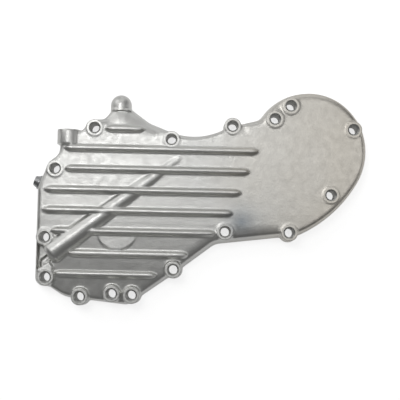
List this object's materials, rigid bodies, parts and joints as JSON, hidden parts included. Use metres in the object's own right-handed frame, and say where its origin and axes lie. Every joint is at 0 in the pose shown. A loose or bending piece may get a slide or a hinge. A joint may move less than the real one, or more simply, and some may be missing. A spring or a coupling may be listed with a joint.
{
  "type": "gearcase cover",
  "caption": "Ribbed die cast aluminium gearcase cover with a round drive end, open back, cast oil passage, screw bosses and a slotted side plug.",
  "frame": {"origin": "centre of screw hole 09 at the joint face", "axes": "+Z out of the ribbed face along the screw holes, +X along the ribs towards the round drive end"},
  "size_m": [0.333, 0.2189, 0.0294],
  "materials": {
    "casting": "satin, as cast and tumbled",
    "plug": "turned, dull"
  },
  "bodies": {
    "root": {"gearcase_cover": "casting", "passage_plug": "plug"}
  },
  "joints": []
}
